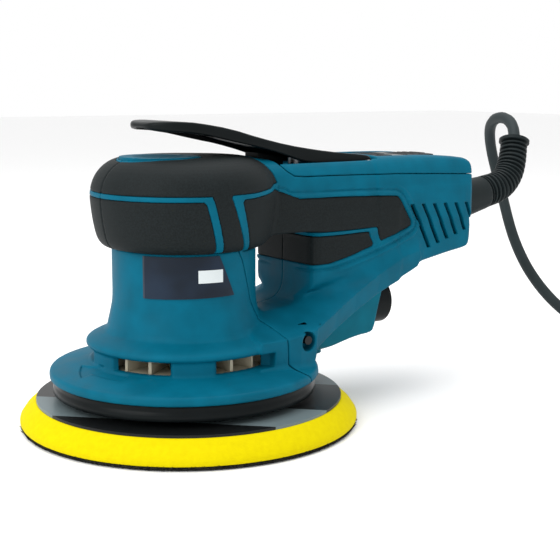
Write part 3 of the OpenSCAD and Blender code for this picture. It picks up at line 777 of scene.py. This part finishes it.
def shellField(x, y, z):
    d = bodyField(x, y, z)
    region = rubberRegion(x, y, z)
    lip = np.where(x > 33, panelsSide(x, z), 50.0)
    raised = 0.42 * band(lip, 0.1, 1.5, 0.35) - 0.5 * band(lip, 2.1, 2.9, 0.3)
    raised = raised + 0.4 * band(lip, 3.7, 5.0, 0.5) * ease((lip - 0.1) * 2) * lowSide(x, z)
    shell = both(d, -both(region - 0.12, -(d + 0.9), soft=0.3), soft=0.4)
    shell = shell - raised * np.clip((np.abs(y) - 8) / 6, 0, 1)
    shell = both(shell, -seamSide(x, z) + 0.12, soft=0.7)
    shell = both(shell, -coverSide(x, z) + gap, soft=0.7)
    slots = ventSlots(x, z)
    shell = both(shell, -both(slots, 22.5 - np.abs(y), soft=0.2), soft=0.35)
    room = both(d + 2.7, 98 - x, 64 - z, z - 104.6, soft=0.5)
    shell = both(shell, -room, soft=0.3)
    hole = np.hypot(x - 39, z - 37.4) - 4.2
    shell = both(shell, -both(hole, 33.5 - np.abs(y), soft=0.3), soft=0.6)
    cap = both(np.hypot(x + capX, y) - capRadius, 115.2 - z, soft=0.4)
    shell = both(shell, -cap, soft=0.7)
    shell = both(shell, -chamber(x, y, z), -windowCut(x, y, z), soft=0.4)
    duct = both(np.abs(y) - 13.9, ductSide(x, z) - 0.3, soft=0.4)
    return both(shell, -duct, y + 0.08, soft=0.5)


ductSide = Outline([
    (38, 23.4), (60, 22.4), (70, 22.9), (76, 25), (82, 27.4), (90, 29.1), (97, 29.6), (99.4, 31.2),
    (101.4, 40), (105, 52.6), (100, 60), (87, 56), (71, 50), (54, 44), (38, 38),
], 1)


def ductField(x, y, z):
    floor = ductSide(x, z)
    belly = np.hypot(np.maximum(np.abs(y) - 5.6, 0), np.maximum(31.4 - z, 0)) - 8.0
    tube = both(floor, np.abs(y) - 13.6, belly, soft=1.2)
    boss = both(np.hypot(x - 72, y) - 4, 20.6 - z, z - 26, soft=0.8)
    bore = both(np.hypot(y, z - 43) - 11.5, 86 - x, soft=0.3)
    return both(either(tube, boss, soft=1), -bore, soft=0.5)


def coverField(x, y, z):
    d = both(bodyField(x, y, z), coverSide(x, z) + gap, soft=0.7)
    bay = both(np.abs(y) - 20.4, x - 93.4, 110.4 - z, 20 - x, soft=0.8)
    d = both(d, -bay, soft=0.9)
    panel = both(np.abs(y) - 16.9, 95.6 - x, x - 146.4, 113.1 - 0.012 * (x - 96) - z, soft=0.8)
    d = both(d, -panel, soft=0.6)
    return both(d, 104 - z, soft=0.3)


def gripField(x, y, z, part):
    d = bodyField(x, y, z)
    layer = both(d, -(d + skin), soft=0.3)
    return both(layer, part, soft=0.9)


def mouldLine(y):
    return 0.5 * np.exp(-(y / 0.45) ** 2)


def noseTopField(x, y, z):
    part = both(noseTop(x, z), capEdge - np.hypot(x + capX, y), noseFoot - z, np.hypot(x, y) - 42.5, soft=0.5)
    return gripField(x, y, z, part) + mouldLine(y) * (x < 0)


def noseFrontField(x, y, z):
    return gripField(x, y, z, both(noseFront(x, z), noseFoot - z, soft=0.5)) + mouldLine(y)


def handleGripField(x, y, z):
    onNose = both(noseRear(x, z), noseFoot - z, soft=0.5)
    onSide = both(gripSide(x, z), 24 - x, soft=0.5)
    return both(gripField(x, y, z, either(onNose, onSide, soft=0.8)), y + 0.1, soft=0.4)


def pillarGripField(x, y, z):
    return both(gripField(x, y, z, both(pillarSide(x, z), 44 - x, soft=0.5)), y + 0.1, soft=0.4)


# moulded shells and grips
fine, middling = 0.62, 0.6
grow("bodyFront", frontField, (-62, -62, 20), (40, 62, 82), fine, "housing", "blue_plastic",
     ["motor_housing"])
grow("bodyLeft", shellField, (-42, -62, 19), (155, 2, 119.5), fine, "housing", "blue_plastic", ["left_shell"],
     ("bodyRight", ["right_shell"]))
grow("topCover", coverField, (32, -29, 103), (154, 29, 119), 0.55, "housing", "blue_plastic",
     ["top_cover"])
grow("gripTop", noseTopField, (-43, -43, 77), (36, 43, 119.5), middling, "housing", "grip_rubber",
     ["nose_grip_top"])
grow("gripFront", noseFrontField, (-43, -43, 77), (0, 43, 103), middling, "housing", "grip_rubber",
     ["nose_grip_front"])
grow("gripLeft", handleGripField, (0, -43, 72), (113, 2, 106), middling, "housing", "grip_rubber",
     ["handle_grip_left"],
     ("gripRight", ["handle_grip_right"]))
grow("postLeft", pillarGripField, (42, -30, 64), (95, 2, 86), middling, "housing", "grip_rubber",
     ["pillar_grip_left"],
     ("postRight", ["pillar_grip_right"]))
grow("dustDuct", ductField, (36, -16, 19), (108, 16, 62), middling, "housing", "duct_plastic",
     ["dust_duct"])


# paddle lever
leverFacts = {"half": 18.5, "reach": 22, "wall": 2.1}
leverShape = Outline([
    (-22, 130.6), (-21.4, 132.2), (-18.6, 132.9), (-11, 133), (-3, 132.4), (13, 129.7), (28, 125.5),
    (44, 121.8), (60, 119.2), (73, 117.6), (86, 116.4), (90.4, 115.6), (91.6, 113.8), (91, 111.5),
    (86, 110.8), (60, 112.4), (50, 114.6), (42, 117.6), (28, 121.4), (18, 123.3), (-3, 127.9),
    (-19.6, 129.1),
], 1)
leverRoom = Outline([
    (-34, 114), (-30, 130.6), (-20, 131), (-3, 130.1), (13, 127.3), (28, 123.1), (44, 119.4),
    (60, 116.8), (73, 115.2), (82, 114.2), (82, 100), (-30, 100),
], 0)


def leverField(x, y, z):
    half = leverFacts["half"]
    plan = np.hypot(np.minimum(x - half + leverFacts["reach"], 0) * 0.94, y) - half
    outer = both(leverShape(x, z), plan, soft=1.2)
    room = both(leverRoom(x, z), plan + leverFacts["wall"], soft=0.8)
    return both(outer, -room, soft=0.6)


grow("paddleLever", leverField, (-24, -20, 109), (93, 20, 134.5), 0.62, "lever", "black_plastic", ["lever"])


# buttons and the panel that they sit in
buttonFacts = {"spots": ((104, 112.4), (131, 112.0)), "tall": 3.0, "ridge": 3.0}


def buttonPlan(x, y, grown):
    return both(np.hypot(x, y) - 12.5 - grown, np.abs(x) - 8.5 - grown, np.abs(y) - 11 - grown, soft=1.0)


def panelField(x, y, z):
    top = np.interp(x, (96, 97.6, 129, 142.4, 145), (113.4, 114.5, 114.4, 113.2, 111.8))
    d = both(z - top, np.abs(y) - 16.9, 96.6 - x, x - 144.9, 111 - z, soft=0.7)
    for bx, bz in buttonFacts["spots"]:
        d = both(d, -both(buttonPlan(x - bx, y, 0.35), bz - 0.9 - z, soft=0.3), soft=0.5)
    return d


def buttonField(bx, bz):
    def field(x, y, z):
        crown = bz + buttonFacts["tall"] - 0.0016 * ((x - bx) ** 2 + y ** 2)
        ridge = 0.32 * band(np.abs((x - bx + 1.5) % buttonFacts["ridge"] - 1.5), -1, 0.55, 0.3)
        ridge = ridge * (np.hypot(x - bx, y) < 8.2)
        return both(buttonPlan(x - bx, y, 0), z - crown + 0.25 - ridge, bz - z, soft=0.5)
    return field


grow("panelFace", panelField, (95, -18, 110), (147, 18, 116), 0.5, "housing", "panel_grey", ["control_panel"])
for name, (bx, bz) in zip(("speed_up", "speed_down"), buttonFacts["spots"]):
    low, high = (bx - 10, -13, bz - 1), (bx + 10, 13, bz + 4)
    grow(name + "Button", buttonField(bx, bz), low, high, 0.4, name, "button_rubber", [name])


# turned pieces: skirt ring, foam and hook face
holeSides = 48


def spin(name, profile, centre, sides, body, slot, replaced, holes=()):
    verts, faces = [], []
    for r, z in profile:
        for k in range(sides):
            a = 2 * math.pi * k / sides
            verts.append((centre[0] + r * math.cos(a), centre[1] + r * math.sin(a), z))
    n = len(profile)
    for i in range(n):
        for k in range(sides):
            a, b = i * sides + k, i * sides + (k + 1) % sides
            c, d = ((i + 1) % n) * sides + (k + 1) % sides, ((i + 1) % n) * sides + k
            faces.append([a, b, c, d])
    mesh = bpy.data.meshes.new(name)
    mesh.from_pydata((np.array(verts) * MM).tolist(), [], faces)
    piece = linked(name, mesh)
    for at in holes:
        cutter = bpy.data.meshes.new("cut")
        around = np.linspace(0, 2 * math.pi, holeSides + 1)[:-1]
        midX, midY = centre[0] + at[0], centre[1] + at[1]
        ring = [(midX + at[2] * math.cos(t), midY + at[2] * math.sin(t)) for t in around]
        ends = [list(range(holeSides))[::-1], list(range(holeSides, 2 * holeSides))]
        after = [(k + 1) % holeSides for k in range(holeSides)]
        walls = [[k, after[k], holeSides + after[k], holeSides + k] for k in range(holeSides)]
        cutter.from_pydata([(x * MM, y * MM, z * MM) for z in (-5, 30) for x, y in ring], [], ends + walls)
        tool = linked("cut", cutter)
        trim = piece.modifiers.new("cut", "BOOLEAN")
        trim.operation = "DIFFERENCE"
        trim.solver = "EXACT"
        trim.object = tool
        seen = bpy.context.evaluated_depsgraph_get()
        baked = bpy.data.meshes.new_from_object(piece.evaluated_get(seen))
        piece.modifiers.clear()
        piece.data = baked
        bpy.data.objects.remove(tool)
    piece.data.polygons.foreach_set("use_smooth", [True] * len(piece.data.polygons))
    piece.data.set_sharp_from_angle(angle=math.radians(34))
    piece.data.materials.clear()
    return fitted(piece, body, slot, replaced)


padFacts = {"centre": (2.5, 0), "holes": 6, "circle": 40, "bore": 5}
padHoles = []
for k in range(padFacts["holes"]):
    at = math.radians(60 * k)
    padHoles.append((padFacts["circle"] * math.cos(at), padFacts["circle"] * math.sin(at), padFacts["bore"]))
foamEdge = [
    (0.01, 1.3), (73.9, 1.3), (74.6, 1.6), (74.95, 2.2), (75, 3.4), (74.8, 4.2), (72.6, 7.4),
    (68.9, 10.6), (68.4, 10.95), (67.9, 11.1), (0.01, 11.1),
]
spin("foamRing", foamEdge, padFacts["centre"], 160, "pad", "pad_foam", ["pad_foam"], padHoles)
hookEdge = [
    (0.01, 0.0), (74.1, 0.0), (74.5, 0.25), (74.6, 0.9), (74.3, 1.25), (0.01, 1.3),
]
spin("hookDisc", hookEdge, padFacts["centre"], 160, "pad", "hook_fabric", ["hook_face"], padHoles)
ringEdge = [
    (50, 14.9), (57, 14.8), (57.9, 15.2), (58.2, 16), (58.1, 17.6), (57.6, 18.6), (57.3, 19.2),
    (57.4, 20.2), (57.2, 21.0), (56.9, 21.4), (56.8, 23.1), (53, 23.1), (53, 18), (50, 18),
]
spin("skirtRing", ringEdge, (0, 0), 144, "housing", "black_plastic", ["shroud_ring"])
say("turned pieces")

# fuzz of small hooks round the edge of the hook face
hookTree = bpy.data.node_groups.new("hookFuzz", "GeometryNodeTree")
hookTree.interface.new_socket("Geometry", in_out="OUTPUT", socket_type="NodeSocketGeometry")
hookFacts = {"radius": 0.0744, "count": 1100, "tall": 0.0011, "seed": 3}
for key, value in hookFacts.items():
    kind = "NodeSocketInt" if isinstance(value, int) else "NodeSocketFloat"
    hookTree.interface.new_socket(key, in_out="INPUT", socket_type=kind)


def place(tree, kind, **settings):
    node = tree.nodes.new(kind)
    for key, value in settings.items():
        if hasattr(node, key):
            setattr(node, key, value)
        elif isinstance(value, bpy.types.NodeSocket):
            tree.links.new(value, node.inputs[key.replace("_", " ")])
        else:
            node.inputs[key.replace("_", " ")].default_value = value
    return node


given = place(hookTree, "NodeGroupInput").outputs
circle = place(hookTree, "GeometryNodeCurvePrimitiveCircle", Resolution=400, Radius=given["radius"])
spots = place(hookTree, "GeometryNodeCurveToPoints", Curve=circle.outputs[0], Count=given["count"])
rise = place(hookTree, "FunctionNodeRandomValue", data_type="FLOAT_VECTOR", Seed=given["seed"])
rise.inputs[0].default_value = (-0.0003, -0.0003, 0.0001)
rise.inputs[1].default_value = (0.0002, 0.0003, 0.0012)
moved = place(hookTree, "GeometryNodeSetPosition", Geometry=spots.outputs[0], Offset=rise.outputs[0])
thin, thick = 0.00006, 0.00018
stub = place(hookTree, "GeometryNodeMeshCone", Vertices=4, Radius_Top=thin, Radius_Bottom=thick, Depth=given["tall"])
spinRange = place(hookTree, "FunctionNodeRandomValue", data_type="FLOAT_VECTOR", Seed=given["seed"])
spinRange.inputs[0].default_value = (-0.9, -0.9, 0.0)
spinRange.inputs[1].default_value = (0.9, 0.9, 6.2)
planted = place(hookTree, "GeometryNodeInstanceOnPoints", Points=moved.outputs[0], Instance=stub.outputs[0])
hookTree.links.new(spinRange.outputs[0], planted.inputs["Rotation"])
real = place(hookTree, "GeometryNodeRealizeInstances", Geometry=planted.outputs[0])
fabric = finishes["hook_fabric"].material
painted = place(hookTree, "GeometryNodeSetMaterial", Geometry=real.outputs[0], Material=fabric)
result = place(hookTree, "NodeGroupOutput")
hookTree.links.new(painted.outputs[0], result.inputs[0])


def fromTree(name, tree, values, body, shift=(0, 0, 0)):
    host = bpy.data.objects.new(name + "Host", bpy.data.meshes.new(name + "Host"))
    bpy.context.scene.collection.objects.link(host)
    live = host.modifiers.new(name, "NODES")
    live.node_group = tree
    for item in tree.interface.items_tree:
        if item.in_out == "INPUT" and item.name in values:
            live[item.identifier] = values[item.name]
    seen = bpy.context.evaluated_depsgraph_get()
    mesh = bpy.data.meshes.new_from_object(host.evaluated_get(seen))
    bpy.data.objects.remove(host)
    mesh.transform(Matrix.Translation(shift))
    piece = bpy.data.objects.new(name, mesh)
    bpy.context.scene.collection.objects.link(piece)
    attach(piece, body)
    return piece


fromTree("hookFuzz", hookTree, hookFacts, "pad", (padOffset, 0, 0))
say("hook fuzz")


# lighting
def softbox(name, place, target, size, power):
    light = bpy.data.lights.new(name, "AREA")
    light.shape = "RECTANGLE"
    light.size, light.size_y = size
    light.energy = power
    lamp = bpy.data.objects.new(name, light)
    bpy.context.scene.collection.objects.link(lamp)
    aim = (Vector(target) - Vector(place)).normalized()
    lamp.matrix_world = Matrix.Translation(place) @ aim.to_track_quat("-Z", "Y").to_matrix().to_4x4()


softbox("keyLeft", (-0.8, -0.15, 0.55), (0.02, 0, 0.06), (0.6, 0.6), 4.5)
softbox("overhead", (0.1, 0.1, 0.9), (0.05, 0, 0.06), (0.8, 0.8), 5)

floorHalf, floorLevel = 4, -0.0004
floor = bpy.data.meshes.new("floor")
floorCorners = [(x * floorHalf, y * floorHalf, floorLevel) for x, y in ((-1, -1), (1, -1), (1, 1), (-1, 1))]
floor.from_pydata(floorCorners, [], [(0, 1, 2, 3)])
floorPiece = linked("floor", floor)
paper = Finish("floorPaper", (0.93, 0.93, 0.93), 0.8, Specular_IOR_Level=0.1)
floor.materials.append(paper.material)

world = bpy.data.worlds.new("white")
bpy.context.scene.world = world
world.use_nodes = True
world.node_tree.nodes["Background"].inputs["Color"].default_value = (1, 1, 1, 1)
world.node_tree.nodes["Background"].inputs["Strength"].default_value = 1.0

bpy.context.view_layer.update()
say("finish")
